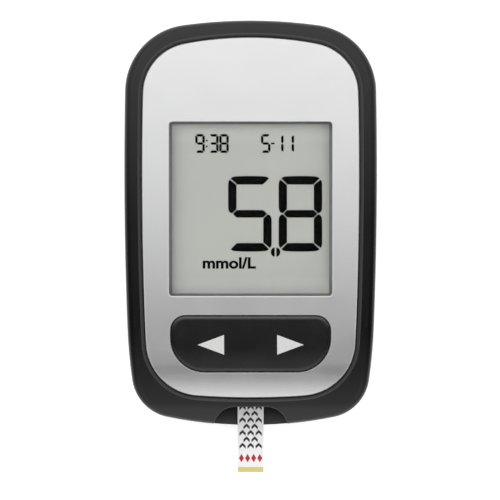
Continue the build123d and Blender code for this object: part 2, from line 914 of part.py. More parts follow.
# ---- Strip connector ----
def strip_connector():
    half_width = connector_width / 2
    mouth_y = inner_notch_y + connector_gap
    back_y = strip_back_y + connector_play + connector_back_wall
    body = span_box((-half_width, half_width), (mouth_y, back_y), (connector_bottom_z, board_bottom_z))
    body = fillet(body.edges().filter_by(Axis.Z), connector_corner)
    half_slot = strip_width / 2 + connector_play
    slot_z = (strip_z - connector_play, spacer_z + cover_thickness + spacer_thickness + connector_play)
    slot_y = (mouth_y - overcut, strip_back_y + connector_play)
    slot = span_box((-half_slot, half_slot), slot_y, slot_z)
    window_y = (strip_back_y - contact_window, strip_back_y + connector_play)
    window = span_box((-half_slot, half_slot), window_y, (slot_z[0], board_bottom_z))
    return body - slot - window


def strip_contacts():
    # spring fingers that press on the strip's electrodes
    touch_z = spacer_z + contact_sheet / 2 + seal_clearance
    solder_z = board_bottom_z - contact_sheet / 2
    toe_y = strip_back_y - contact_window + finger_margin
    touch_y = toe_y + finger_toe
    knee_y = touch_y + finger_reach
    points = [
        (knee_y + finger_foot, solder_z),
        (knee_y, solder_z),
        (touch_y, touch_z),
        (toe_y, touch_z + finger_toe_lift),
    ]
    fingers = []
    for index in range(contact_count):
        x = (index - (contact_count - 1) / 2) * contact_pitch
        finger = bent_sheet(points, contact_sheet, contact_width, Plane.YZ, finger_bend)
        fingers.append(Pos(x, 0, 0) * finger)
    return Compound(fingers)


# ---- Test strip ----
def strip_sheet(y_limits, z_limits):
    return span_box((-strip_width / 2, strip_width / 2), y_limits, z_limits)


def strip_base():
    base = strip_sheet((strip_tip_y, strip_back_y), (strip_z, electrode_z))
    return chamfer(base.edges().filter_by(Axis.Z).sort_by(Axis.Y)[-2:], strip_corner_bevel)


def strip_electrodes():
    tracks = []
    for index in range(contact_count):
        x = (index - (contact_count - 1) / 2) * contact_pitch
        x_limits = (x - electrode_width / 2, x + electrode_width / 2)
        y_limits = (strip_tip_y + tip_length + channel_length / 2, strip_back_y - electrode_width)
        tracks.append(span_box(x_limits, y_limits, (electrode_z, spacer_z)))
    return Compound(tracks)


def strip_spacer():
    y_limits = (strip_tip_y + tip_length, strip_back_y - bare_length)
    spacer = strip_sheet(y_limits, (spacer_z, cover_z))
    half_channel = channel_width / 2
    channel_y = (strip_tip_y, strip_tip_y + tip_length + channel_length)
    return spacer - span_box((-half_channel, half_channel), channel_y, (0, case_thickness))


def strip_cover():
    y_limits = (strip_tip_y + tip_length, strip_back_y - bare_length)
    return strip_sheet(y_limits, (cover_z, cover_z + cover_thickness))


def strip_tip():
    # coloured dosing edge that fills the end of the strip above its base
    return strip_sheet((strip_tip_y, strip_tip_y + tip_length), (electrode_z, cover_z + cover_thickness))


# ---- Coin cell and its contacts ----
cell_seat = Pos(0, cell_y, cell_bottom_z)


def cell_can():
    cup = turned(
        [
            (0, 0),
            (cell_radius, 0),
            (cell_radius, can_height),
            (cell_radius - can_sheet, can_height),
            (cell_radius - can_sheet, can_sheet),
            (0, can_sheet),
        ]
    )
    return cell_seat * chamfer(cup.faces().sort_by(Axis.Z)[0].edges(), can_edge_bevel)


def cell_seal():
    inner = cap_radius + seal_clearance
    outer = cell_radius - can_sheet - seal_clearance
    low = can_sheet + seal_clearance
    return cell_seat * turned([(inner, low), (outer, low), (outer, can_height), (inner, can_height)])


def cell_cap():
    low = can_sheet + seal_clearance
    cap = turned([(0, low), (cap_radius, low), (cap_radius, cell_height), (0, cell_height)])
    return cell_seat * chamfer(cap.faces().sort_by(Axis.Z)[-1].edges(), cap_edge_bevel)


def negative_contact():
    # leaf from the board through the roof of the well to the middle of the cell's cap
    solder_z = board_bottom_z - spring_sheet / 2
    touch_z = cell_bottom_z + cell_height + spring_sheet / 2 + seal_clearance
    points = [
        (cell_y + cap_spring_run + cap_spring_foot, solder_z),
        (cell_y + cap_spring_run, solder_z),
        (cell_y, touch_z),
        (cell_y - cap_spring_toe, touch_z + cap_spring_toe_lift),
    ]
    return bent_sheet(points, spring_sheet, spring_width, Plane.YZ, spring_bend)


def positive_contact():
    # leaf from the board that presses on the side of the cell's can
    solder_z = board_bottom_z - spring_sheet / 2
    touch_x = -cell_radius - spring_sheet / 2 - seal_clearance
    mid_can_z = cell_bottom_z + can_height / 2
    points = [
        (touch_x - can_spring_stand_off - can_spring_foot, solder_z),
        (touch_x - can_spring_stand_off, solder_z),
        (touch_x - can_spring_knee_off, mid_can_z + can_spring_knee_rise),
        (touch_x, mid_can_z + can_spring_touch_rise),
        (touch_x - can_spring_toe_off, mid_can_z - can_spring_toe_drop),
    ]
    plane = Plane((0, cell_y, 0), x_dir=(1, 0, 0), z_dir=(0, -1, 0))
    return bent_sheet(points, spring_sheet, spring_width, plane, can_spring_bend)


# ---- Battery door ----
def battery_door():
    plate = prism(door_outline(), door_sink, door_inner_z)
    plate = chamfer(plate.faces().sort_by(Axis.Z)[0].edges(), door_edge_bevel)
    half_notch = latch_width / 2 + latch_clearance
    notch_y = (door_free_y - latch_sheet - latch_clearance, door_free_y + overcut)
    plate = plate - span_box((-half_notch, half_notch), notch_y, (0, case_thickness))
    plate = plate + door_tongues()
    pad_y = (cell_y - pad_length / 2, cell_y + pad_length / 2)
    for side in (-1, 1):
        pad_limits = (side * pad_x - pad_width / 2, side * pad_x + pad_width / 2)
        plate = plate + span_box(pad_limits, pad_y, (door_inner_z, door_inner_z + pad_height))
    return plate


def door_tongues():
    # two tongues that reach over the floor's edge and hold the hinge side of the door
    tongue_z = floor_thickness + tongue_lift
    tongues = Part()
    for side in (-1, 1):
        x_limits = (side * tongue_x - tongue_width / 2, side * tongue_x + tongue_width / 2)
        arm_y = (door_hinge_y - tongue_reach, door_hinge_y + tongue_root)
        arm = span_box(x_limits, arm_y, (tongue_z, tongue_top_z()))
        root = span_box(x_limits, (door_hinge_y, arm_y[1]), (door_inner_z, tongue_z))
        tongues += arm + root
    return tongues


def latch_inner_y():
    # centre line of the leg that stands on the door
    return door_free_y - latch_sheet / 2 - latch_span


def door_latch():
    # bent tab: a leg on the door, a bend, and an outer leg with the hook and the finger edge
    outer_y = door_free_y - latch_sheet / 2
    points = [
        (latch_inner_y(), door_inner_z),
        (latch_inner_y(), latch_height),
        (outer_y, latch_height),
        (outer_y, door_sink + latch_sheet / 2),
    ]
    tab = bent_sheet(points, latch_sheet, latch_width, Plane.YZ, latch_bend)
    hook_z = floor_thickness + tongue_lift
    hook_profile = Polyline(
        (outer_y, hook_z),
        (door_free_y + latch_hook, hook_z),
        (door_free_y, hook_z + latch_hook),
        (outer_y, hook_z + latch_hook),
        close=True,
    )
    hook = extrude(Plane.YZ * make_face(hook_profile), latch_width / 2, both=True)
    finger_y = (outer_y, door_free_y + latch_hook)
    half = latch_width / 2
    finger = span_box((-half, half), finger_y, (door_sink, door_sink + scoop_depth / 2))
    leg_y = (latch_inner_y() - latch_sheet, outer_y - latch_sheet / 2)
    below_door = span_box((-half, half), leg_y, (0, door_inner_z))
    return tab - below_door + hook + finger


def all_parts():
    polariser_top, front_top, rear_top, reflector_top, tray_floor = display_levels()
    full_glass = front_glass_margin()
    return {
        "front_housing": front_housing(),
        "rear_housing": rear_housing(),
        "faceplate": faceplate(),
        "display_lens": display_lens(),
        "display_tray": display_tray(),
        "front_polariser": glass_sheet(rear_glass_top_margin, front_top, polariser_top),
        "front_glass": glass_sheet(full_glass, rear_top, front_top),
        "rear_glass": glass_sheet(rear_glass_top_margin, reflector_top, rear_top),
        "reflector": glass_sheet(rear_glass_top_margin, tray_floor, reflector_top),
        "zebra_strip": zebra_strip(),
        "circuit_board": circuit_board(),
        "board_screws": board_screws(),
        "processor_chip": chip(processor_place, processor_size),
        "measuring_chip": chip(measuring_place, measuring_size),
        "memory_chip": chip(memory_place, memory_size),
        "crystal_can": chip(crystal_place, crystal_size),
        "chip_resistors": chip_row(
            resistor_place, resistor_size, resistor_pitch, resistor_count, (0, -1)
        ),
        "chip_capacitors": chip_row(
            capacitor_place, capacitor_size, capacitor_pitch, capacitor_count, (1, 0)
        ),
        "left_dome": key_dome(-1),
        "right_dome": key_dome(1),
        "rocker_key": rocker_key(),
        "left_arrow": arrow_inlay(-1),
        "right_arrow": arrow_inlay(1),
        "strip_connector": strip_connector(),
        "strip_contacts": strip_contacts(),
        "strip_base": strip_base(),
        "strip_electrodes": strip_electrodes(),
        "strip_spacer": strip_spacer(),
        "strip_cover": strip_cover(),
        "strip_tip": strip_tip(),
        "cell_can": cell_can(),
        "cell_seal": cell_seal(),
        "cell_cap": cell_cap(),
        "negative_contact": negative_contact(),
        "positive_contact": positive_contact(),
        "battery_door": battery_door(),
        "door_latch": door_latch(),
    }


os.makedirs("parts", exist_ok=True)
for name, solid in all_parts().items():
    export_step(solid, f"parts/{name}.step")
    print(name, round(solid.volume, 2))
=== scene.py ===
import math

import bpy
import numpy as np
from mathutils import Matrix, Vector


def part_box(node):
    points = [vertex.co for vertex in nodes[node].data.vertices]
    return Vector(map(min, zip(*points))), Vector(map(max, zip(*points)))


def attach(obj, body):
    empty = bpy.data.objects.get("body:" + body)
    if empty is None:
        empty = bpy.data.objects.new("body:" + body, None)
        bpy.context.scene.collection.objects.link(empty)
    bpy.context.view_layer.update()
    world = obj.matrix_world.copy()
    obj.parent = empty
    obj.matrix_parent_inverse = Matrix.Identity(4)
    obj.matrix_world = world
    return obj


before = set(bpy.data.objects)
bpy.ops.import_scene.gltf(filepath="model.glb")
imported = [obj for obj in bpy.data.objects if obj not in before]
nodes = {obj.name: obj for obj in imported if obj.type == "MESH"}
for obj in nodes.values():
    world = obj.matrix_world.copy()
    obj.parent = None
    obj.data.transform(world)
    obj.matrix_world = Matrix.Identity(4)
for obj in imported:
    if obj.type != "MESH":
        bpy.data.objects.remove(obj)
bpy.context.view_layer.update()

mm = 0.001
print("frame loaded:", len(nodes), "CAD nodes")


def middle(node):
    # centre of the node's box
    low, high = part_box(node)
    return (low + high) / 2


class NodeTree:
    # short ways to add nodes to a tree; all but `add` and `join` give back the socket to use
    # the edge mask made with these places painted highlights on the edges of the case and the faceplate
    edgeTest = dict(samples=6, worn=0.935, open=0.99)  # worn and open are cosines of the lean

    def __init__(self, tree, coords):
        self.tree = tree
        self.coords = self.add("ShaderNodeTexCoord").outputs[coords]

    def add(self, kind, **settings):
        node = self.tree.nodes.new(kind)
        for key, value in settings.items():
            setattr(node, key, value)
        return node

    def join(self, source, target):
        # links a socket to the target, or writes a plain value into it
        if hasattr(source, "is_output"):
            self.tree.links.new(source, target)
        else:
            target.default_value = source

    def place(self, offset=(0, 0, 0), stretch=(1, 1, 1)):
        # the tree's own coordinates, moved and stretched
        node = self.add("ShaderNodeMapping")
        node.inputs["Location"].default_value = offset
        node.inputs["Scale"].default_value = stretch
        self.join(self.coords, node.inputs["Vector"])
        return node.outputs["Vector"]

    def facing(self):
        # the direction the surface faces
        return self.add("ShaderNodeNewGeometry").outputs["Normal"]

    def axis(self, name, coords=None):
        node = self.add("ShaderNodeSeparateXYZ")
        self.join(coords or self.coords, node.inputs["Vector"])
        return node.outputs[name]

    def noise(self, grain, detail=2.0, coords=None):
        # soft noise whose blobs are about `grain` metres across
        node = self.add("ShaderNodeTexNoise")
        node.inputs["Scale"].default_value = 1.0 / grain
        node.inputs["Detail"].default_value = detail
        self.join(coords or self.coords, node.inputs["Vector"])
        return node.outputs["Fac"]

    def cells(self, grain, output="Distance"):
        # cell pattern with cells about `grain` metres across
        node = self.add("ShaderNodeTexVoronoi")
        node.inputs["Scale"].default_value = 1.0 / grain
        self.join(self.coords, node.inputs["Vector"])
        return node.outputs[output]

    def stripes(self, pitch, axis):
        # bands that repeat every `pitch` metres along one axis: at scale 1 the node's bands are
        # pi / 10 apart
        node = self.add("ShaderNodeTexWave", bands_direction=axis)
        node.inputs["Scale"].default_value = math.pi / (10 * pitch)
        self.join(self.coords, node.inputs["Vector"])
        return node.outputs["Fac"]

    def ramp(self, source, low, high, start=0.3, end=0.7, smooth=False):
        # goes from low to high while `source` goes from start to end
        node = self.add("ShaderNodeMapRange", clamp=True)
        if smooth:
            node.interpolation_type = "SMOOTHSTEP"
        self.join(source, node.inputs["Value"])
        node.inputs["From Min"].default_value = start
        node.inputs["From Max"].default_value = end
        node.inputs["To Min"].default_value = low
        node.inputs["To Max"].default_value = high
        return node.outputs["Result"]

    def colour(self, source, low, high, start=0.3, end=0.7):
        # goes from one colour to another while `source` goes from start to end
        node = self.add("ShaderNodeValToRGB")
        first, last = node.color_ramp.elements
        first.position, last.position = start, end
        first.color, last.color = (*low, 1), (*high, 1)
        self.join(source, node.inputs["Fac"])
        return node.outputs["Color"]

    def graded(self, source, stops):
        # level read off a list of (value, level) stops, straight between them
        low, high = stops[0][0], stops[-1][0]
        node = self.add("ShaderNodeValToRGB")
        self.join(self.ramp(source, 0, 1, low, high), node.inputs["Fac"])
        elements = node.color_ramp.elements
        while len(elements) < len(stops):
            elements.new(0.5)
        for element, (value, level) in zip(elements, stops):
            element.position = (value - low) / (high - low)
            element.color = (level, level, level, 1)
        return node.outputs["Color"]

    def mix(self, share, first, second):
        # colour mix: `second` shows where share is 1
        node = self.add("ShaderNodeMix", data_type="RGBA")
        self.join(share, node.inputs["Factor"])
        for socket, value in ((node.inputs["A"], first), (node.inputs["B"], second)):
            self.join((*value, 1) if isinstance(value, tuple) else value, socket)
        return node.outputs["Result"]

    def maths(self, operation, first, second=0.5):
        node = self.add("ShaderNodeMath", operation=operation)
        self.join(first, node.inputs[0])
        self.join(second, node.inputs[1])
        return node.outputs["Value"]

    def product(self, first, *others):
        for other in others:
            first = self.maths("MULTIPLY", first, other)
        return first

    def edgeNearness(self, reach):
        # 1 on edges that lie within `reach`, 0 on open faces: how far the rounded-over normal
        # leans from the true one
        rounded = self.add("ShaderNodeBevel", samples=self.edgeTest["samples"])
        rounded.inputs["Radius"].default_value = reach
        lean = self.add("ShaderNodeVectorMath", operation="DOT_PRODUCT")
        self.join(rounded.outputs["Normal"], lean.inputs[0])
        self.join(self.facing(), lean.inputs[1])
        return self.ramp(lean.outputs["Value"], 1, 0, self.edgeTest["worn"], self.edgeTest["open"])


class Shader(NodeTree):
    # a new material with a Principled surface, patterned in object coordinates
    def __init__(self, name):
        self.material = bpy.data.materials.new(name)
        self.material.use_nodes = True
        super().__init__(self.material.node_tree, "Object")
        self.surface = self.tree.nodes["Principled BSDF"]
        self.output = self.tree.nodes["Material Output"]

    def set(self, **values):
        # plain numbers and colours, set on the surface's own sockets
        for key, value in values.items():
            socket = self.surface.inputs[key.replace("_", " ")]
            socket.default_value = (*value, 1.0) if isinstance(value, tuple) else value

    def feed(self, name, source):
        self.tree.links.new(source, self.surface.inputs[name])

    def sheen(self, source, look):
        # uneven gloss: rougher where `source` is high
        self.feed("Roughness", self.ramp(source, look["sheenLow"], look["sheenHigh"]))

    def bump(self, height, depth):
        # relief of `depth` metres from a height between 0 and 1
        node = self.add("ShaderNodeBump")
        node.inputs["Strength"].default_value = 1.0
        node.inputs["Distance"].default_value = depth
        self.join(height, node.inputs["Height"])
        self.feed("Normal", node.outputs["Normal"])

    def orClear(self, share, tint=(1, 1, 1), surfaceFirst=True):
        # mixes the surface with a clear sheet: the second of the two shows where `share` is 1
        clear = self.add("ShaderNodeBsdfTransparent")
        clear.inputs["Color"].default_value = (*tint, 1)
        pair = [self.surface.outputs["BSDF"], clear.outputs["BSDF"]]
        mixed = self.add("ShaderNodeMixShader")
        self.join(share, mixed.inputs["Fac"])
        for socket, part in zip(mixed.inputs[1:], pair if surfaceFirst else reversed(pair)):
            self.join(part, socket)
        self.join(mixed.outputs["Shader"], self.output.inputs["Surface"])


# finishes of the case, the key and the faceplate
def casePlastic(name, paintedHighlightShare):
    # the function given last gives, from the shader, the share of a painted highlight, a grey laid into
    # the plastic's colour, 0 to 1
    look = dict(
        dark=(0.0010, 0.0010, 0.0011), pale=(0.0018, 0.0017, 0.0018), paintedHighlight=(0.060, 0.058, 0.059),
        edge=(0.085, 0.083, 0.083), edgeReach=0.28 * mm, grain=0.22 * mm, reliefDepth=0.004 * mm,
        flow=9 * mm, sheenLow=0.20, sheenHigh=0.26, specular=0.26,
    )
    shader = Shader(name)
    spark = shader.noise(look["grain"], detail=3)  # spark-eroded mould texture
    flow = shader.noise(look["flow"], detail=3)  # faint flow marks
    tone = shader.colour(flow, look["dark"], look["pale"])
    # painted highlight: the plastic turns grey where the share is high
    tone = shader.mix(paintedHighlightShare(shader), tone, look["paintedHighlight"])
    # painted highlight on every edge within the reach
    tone = shader.mix(shader.edgeNearness(look["edgeReach"]), tone, look["edge"])
    shader.feed("Base Color", tone)
    shader.sheen(flow, look)
    shader.set(Specular_IOR_Level=look["specular"])
    shader.bump(spark, look["reliefDepth"])
    return shader.material


def frontPaintedHighlight(shader):
    # painted highlight: greyer towards the two ends of the case, as stops of (Y in mm, share), and a
    # painted highlight on the bevel round the faceplate, which is the part of the front that leans
    # inwards: normal . place < -lean
    along = [(-38, 0.44), (-35.8, 0.37), (-34.6, 0.16), (-29, 0.19), (-20, 0), (1, 0), (38, 0.44)]
    lip = dict(lean=4 * mm, steepest=0.3, lowest=12 * mm, share=0.75)
    ends = shader.graded(shader.axis("Y"), [(y * mm, share) for y, share in along])
    facing = shader.facing()
    leanX = shader.product(shader.axis("X"), shader.axis("X", coords=facing))
    leanY = shader.product(shader.axis("Y"), shader.axis("Y", coords=facing))
    inwards = shader.maths("LESS_THAN", shader.maths("ADD", leanX, leanY), -lip["lean"])
    upwards = shader.maths("GREATER_THAN", shader.axis("Z", coords=facing), lip["steepest"])
    high = shader.maths("GREATER_THAN", shader.axis("Z"), lip["lowest"])
    bevel = shader.product(inwards, upwards, high)
    return shader.maths("MAXIMUM", ends, shader.product(bevel, lip["share"]))


def notchPaintedLightAndShade(shader):
    # painted light and shade on the floor of the thumb notch: grey, as if lit, at its outer edge, and
    # black, as if shaded, under its arch
    notch = dict(outer=-38.9 * mm, arch=-36.2 * mm, halfWidth=7.3 * mm, floor=5.2 * mm, share=0.9)
    outwards = shader.ramp(shader.axis("Y"), notch["share"], 0, notch["outer"], notch["arch"])
    across = shader.maths("ABSOLUTE", shader.axis("X"))
    within = shader.maths("LESS_THAN", across, notch["halfWidth"])
    high = shader.maths("GREATER_THAN", shader.axis("Z"), notch["floor"])
    return shader.product(outwards, within, high)


def keyPlastic():
    # black key with painted highlights: greyer towards its lower side and on the rounded edge at its top,
    # which is where the surface faces along +Y
    look = dict(
        dark=(0.0028, 0.0028, 0.0029), pale=(0.0042, 0.0042, 0.0043), polish=5 * mm,
        paintedHighlight=(0.028, 0.028, 0.028), paintedHighlightFrom=-24.2 * mm, paintedHighlightTo=-29.9 * mm,
        edge=(0.095, 0.095, 0.095), edgeFrom=0.15, edgeTo=0.80,
        grain=0.12 * mm, reliefDepth=0.002 * mm, sheenLow=0.22, sheenHigh=0.30, specular=0.36,
    )
    shader = Shader("satin_key_plastic")
    fine = shader.noise(look["grain"], detail=2)
    worn = shader.noise(look["polish"], detail=4)  # where fingertips have polished it
    tone = shader.colour(worn, look["dark"], look["pale"])
    # painted highlight towards the key's lower side
    low = shader.ramp(shader.axis("Y"), 0, 1, look["paintedHighlightFrom"], look["paintedHighlightTo"])
    tone = shader.mix(low, tone, look["paintedHighlight"])
    # painted highlight on the edge that faces along +Y
    topwards = shader.axis("Y", coords=shader.facing())
    edge = shader.ramp(topwards, 0, 1, look["edgeFrom"], look["edgeTo"])
    shader.feed("Base Color", shader.mix(edge, tone, look["edge"]))
    shader.sheen(worn, look)
    shader.set(Specular_IOR_Level=look["specular"])
    shader.bump(fine, look["reliefDepth"])
    return shader.material


def silverPaint():
    # metal flakes under a thin coat, with a painted highlight over the cut edges, where the paint is
    # whiter and less metallic
    look = dict(
        dark=(0.755, 0.755, 0.757), pale=(0.835, 0.835, 0.837), metallic=0.9,
        edge=(0.91, 0.91, 0.91), edgeReach=0.28 * mm, edgeMetallic=0.3,
        flake=0.05 * mm, reliefDepth=0.0003 * mm, haze=7 * mm, sheenLow=0.19, sheenHigh=0.23,
        coat=0.2, coatRoughness=0.15,
    )
    shader = Shader("silver_metallic_paint")
    tint = shader.axis("X", coords=shader.cells(look["flake"], output="Color"))
    haze = shader.noise(look["haze"], detail=3)
    paint = shader.colour(tint, look["dark"], look["pale"], 0, 1)
    # painted highlight on the edges
    edge = shader.edgeNearness(look["edgeReach"])
    shader.feed("Base Color", shader.mix(edge, paint, look["edge"]))
    shader.feed("Metallic", shader.ramp(edge, look["metallic"], look["edgeMetallic"], 0, 1))
    shader.sheen(haze, look)
    shader.set(Coat_Weight=look["coat"], Coat_Roughness=look["coatRoughness"])
    shader.bump(tint, look["reliefDepth"])
    return shader.material


def plainFinish(name, look):
    # plastic, film or ink of a single uneven tone; a stretch makes its grain run along an axis
    shader = Shader(name)
    coords = shader.place(stretch=look["stretch"]) if "stretch" in look else shader.coords
    grain = shader.noise(look["grain"], look.get("detail", 3), coords)
    shader.feed("Base Color", shader.colour(grain, look["dark"], look["pale"]))
    shader.sheen(grain, look)
    if "specular" in look:
        shader.set(Specular_IOR_Level=look["specular"])
    if "reliefDepth" in look:
        shader.bump(grain, look["reliefDepth"])
    return shader.material


arrowWhite = dict(
    dark=(0.59, 0.59, 0.587), pale=(0.67, 0.67, 0.667),
    grain=0.35 * mm, sheenLow=0.34, sheenHigh=0.44, reliefDepth=0.002 * mm,
)


# finishes of the window and the display
def clearPlastic():
    # clear acrylic that lets lamp light through to what lies under it
    look = dict(
        tint=(0.985, 0.988, 0.985), shadow=(0.97, 0.975, 0.97), roughness=0.03,
        refraction=1.10,  # low, because the window has an anti-glare coat
        ripple=14 * mm, rippleDepth=0.004 * mm,
    )
    shader = Shader("clear_window_acrylic")
    shader.set(Base_Color=look["tint"], Roughness=look["roughness"])
    shader.set(Transmission_Weight=1.0, IOR=look["refraction"])
    shader.bump(shader.noise(look["ripple"], detail=1), look["rippleDepth"])
    passLight(shader, look["shadow"])
    return shader.material


def displayGlass():
    # faintly green glass with a slight haze
    look = dict(tint=(0.80, 0.88, 0.83), refraction=1.52, haze=4 * mm, sheenLow=0.04, sheenHigh=0.08)
    shader = Shader("display_cell_glass")
    shader.sheen(shader.noise(look["haze"]), look)
    shader.set(Base_Color=look["tint"], IOR=look["refraction"], Transmission_Weight=1.0)
    passLight(shader, look["tint"])
    return shader.material


def passLight(shader, tint):
    # shadow rays see a tinted clear sheet in place of the refracting surface
    shadowRay = shader.add("ShaderNodeLightPath").outputs["Is Shadow Ray"]
    shader.orClear(shadowRay, tint)


def polariserFilm():
    # grey-green face of the display: fine mottle of the reflector behind it, and painted light: paler at
    # both ends, to lift the shade that the window's top and bottom edges cast
    look = dict(
        dark=(0.357, 0.362, 0.339), pale=(0.395, 0.400, 0.375),
        endDark=(0.455, 0.460, 0.434), endPale=(0.495, 0.500, 0.472),
        endsFrom=12.4 * mm, endsTo=16.2 * mm, cloud=11 * mm, cloudShare=0.35,
        mottle=0.09 * mm, mottleGain=0.6, mottleBase=0.2, reliefDepth=0.0004 * mm,
        sheenLow=0.38, sheenHigh=0.50,
    )
    shader = Shader("display_polariser_film")
    mottle = shader.noise(look["mottle"], detail=3)
    cloud = shader.noise(look["cloud"], detail=1)
    soft = shader.maths("MULTIPLY_ADD", mottle, look["mottleGain"])
    soft.node.inputs[2].default_value = look["mottleBase"]
    fine = shader.colour(soft, look["dark"], look["pale"])
    broad = shader.colour(cloud, look["dark"], look["pale"])
    tone = shader.mix(look["cloudShare"], fine, broad)
    # painted light towards both ends, measured from the display's middle
    fromMiddle = shader.maths("SUBTRACT", shader.axis("Y"), middle("front_polariser").y)
    reach = shader.maths("ABSOLUTE", fromMiddle)
    ends = shader.ramp(reach, 0, 1, look["endsFrom"], look["endsTo"])
    tone = shader.mix(ends, tone, shader.colour(soft, look["endDark"], look["endPale"]))
    shader.feed("Base Color", tone)
    shader.sheen(mottle, look)
    shader.bump(mottle, look["reliefDepth"])
    return shader.material


def reflectorFilm():
    # metal-coated film, brushed along X
    look = dict(
        dark=(0.42, 0.44, 0.40), pale=(0.60, 0.62, 0.57), metallic=0.6,
        grain=0.4 * mm, stretch=(0.05, 1, 1), sheenLow=0.3, sheenHigh=0.45,
    )
    shader = Shader("reflector_film")
    brushed = shader.noise(look["grain"], coords=shader.place(stretch=look["stretch"]))
    shader.feed("Base Color", shader.colour(brushed, look["dark"], look["pale"]))
    shader.sheen(brushed, look)
    shader.set(Metallic=look["metallic"])
    return shader.material


def whitePlastic():
    # white plastic with a fine texture and broad flow marks
    look = dict(
        dark=(0.70, 0.70, 0.68), pale=(0.80, 0.80, 0.78), flow=8 * mm,
        grain=0.25 * mm, reliefDepth=0.006 * mm, sheenLow=0.42, sheenHigh=0.55,
    )
    shader = Shader("tray_white_plastic")
    fine = shader.noise(look["grain"], detail=3)
    shader.feed("Base Color", shader.colour(shader.noise(look["flow"]), look["dark"], look["pale"]))
    shader.sheen(fine, look)
    shader.bump(fine, look["reliefDepth"])
    return shader.material


def zebraRubber():
    # thin conducting layers, black and grey, stacked along the strip
    look = dict(
        black=(0.02, 0.02, 0.02), grey=(0.26, 0.25, 0.26), layer=0.10 * mm,
        blackTo=0.45, greyFrom=0.55, roughness=0.7, reliefDepth=0.004 * mm,
    )
    shader = Shader("zebra_layered_rubber")
    layers = shader.stripes(look["layer"], "X")
    tone = shader.colour(layers, look["black"], look["grey"], look["blackTo"], look["greyFrom"])
    shader.feed("Base Color", tone)
    shader.set(Roughness=look["roughness"])
    shader.bump(layers, look["reliefDepth"])
    return shader.material


# almost black with a trace of green where light leaks through
displayInk = dict(
    dark=(0.0006, 0.0007, 0.0005), pale=(0.0016, 0.0017, 0.0013),
    grain=0.5 * mm, detail=2, sheenLow=0.42, sheenHigh=0.55, specular=0.01,
)
# grey screen print round the window, widened into painted shade at the window's edge, with the fine
# unevenness of the mesh it was pressed through
windowInkAndShade = dict(
    dark=(0.182, 0.184, 0.178), pale=(0.212, 0.214, 0.208),
    grain=0.12 * mm, detail=2, sheenLow=0.45, sheenHigh=0.6, specular=0.1,
)


# finishes of the electronics and the coin cell
def boardLaminate():
    # green solder mask with raised tracks in two directions and gold pads round the vias; the
    # board's cut sides show its glass weave
    look = dict(
        mask=(0.006, 0.060, 0.024), track=(0.016, 0.125, 0.050), gold=(0.75, 0.56, 0.22),
        fibreDark=(0.18, 0.15, 0.07), fibrePale=(0.26, 0.23, 0.12),
        trackPitch=0.62 * mm, trackFrom=0.62, trackTo=0.70, trackDepth=0.02 * mm,
        patch=4.5 * mm, patchShare=0.5, viaPitch=3.1 * mm, viaSize=0.13,
        weave=0.2 * mm, weaveStretch=(1, 1, 0.2), sheenLow=0.28, sheenHigh=0.4, uprightFrom=0.9,
    )
    shader = Shader("board_green_laminate")
    across, along = (
        shader.ramp(shader.stripes(look["trackPitch"], axis), 0, 1, look["trackFrom"], look["trackTo"])
        for axis in "XY"
    )
    patches = shader.axis("X", coords=shader.cells(look["patch"], output="Color"))
    tracks = shader.mix(shader.maths("GREATER_THAN", patches, look["patchShare"]), across, along)
    via = shader.maths("LESS_THAN", shader.cells(look["viaPitch"]), look["viaSize"])
    face = shader.mix(via, shader.mix(tracks, look["mask"], look["track"]), look["gold"])
    weave = shader.noise(look["weave"], coords=shader.place(stretch=look["weaveStretch"]))
    side = shader.colour(weave, look["fibreDark"], look["fibrePale"])
    upright = shader.maths("ABSOLUTE", shader.axis("Z", coords=shader.facing()))
    onFace = shader.maths("GREATER_THAN", upright, look["uprightFrom"])
    shader.feed("Base Color", shader.mix(onFace, side, face))
    shader.feed("Metallic", shader.product(via, onFace))
    shader.sheen(weave, look)
    shader.bump(tracks, look["trackDepth"])
    return shader.material


def tinEnds(name, look, rows):
    # a chip's ceramic body with a tinned cap at each end along X; the ends sit at the same places
    # in each copy, so the distance to the copy's centre is the coordinate folded by the pitch
    shader = Shader(name)
    x = shader.maths("SUBTRACT", shader.axis("X"), rows["centre"])
    if rows["pitch"]:
        x = shader.maths("PINGPONG", x, rows["pitch"] / 2)
    bodyReach = rows["halfLength"] * look["bodyShare"]
    ends = shader.maths("GREATER_THAN", shader.maths("ABSOLUTE", x), bodyReach)
    grain = shader.noise(look["grain"])
    ceramic = shader.colour(grain, look["body"], tuple(look["paler"] * part for part in look["body"]))
    shader.feed("Base Color", shader.mix(ends, ceramic, look["tin"]))
    shader.feed("Metallic", ends)
    shader.sheen(grain, look)
    return shader.material


tinned = dict(tin=(0.62, 0.62, 0.60), paler=1.25, grain=0.1 * mm, sheenLow=0.3, sheenHigh=0.45)
# the resistors stand in a row along Y, so they have no pitch along X
resistorLook = dict(tinned, body=(0.02, 0.02, 0.022), bodyShare=0.68)
resistorRows = dict(centre=middle("chip_resistors").x, pitch=0, halfLength=0.8 * mm)
# two capacitors stand side by side along X, half a pitch each way from their middle
capacitorLook = dict(tinned, body=(0.40, 0.27, 0.15), bodyShare=0.72)
capacitorPitch = 4.6 * mm
capacitorRows = dict(
    centre=middle("chip_capacitors").x - capacitorPitch / 2, pitch=capacitorPitch,
    halfLength=1.75 * mm,
)


def metal(name, look):
    # bare or plated metal with a drawn or rolled grain and broader stains
    every = dict(stain=2.5 * mm, stainShare=0.3, reliefDepth=0.0015 * mm, stretch=(1, 1, 1))
    look = {**every, **look}
    shader = Shader(name)
    drawn = shader.noise(look["grain"], detail=3, coords=shader.place(stretch=look["stretch"]))
    stain = shader.noise(look["stain"], detail=3)
    fine = shader.colour(drawn, look["dark"], look["pale"])
    broad = shader.colour(stain, look["dark"], look["pale"])
    shader.feed("Base Color", shader.mix(look["stainShare"], fine, broad))
    shader.sheen(stain, look)
    shader.set(Metallic=1.0)
    shader.bump(drawn, look["reliefDepth"])
    return shader.material


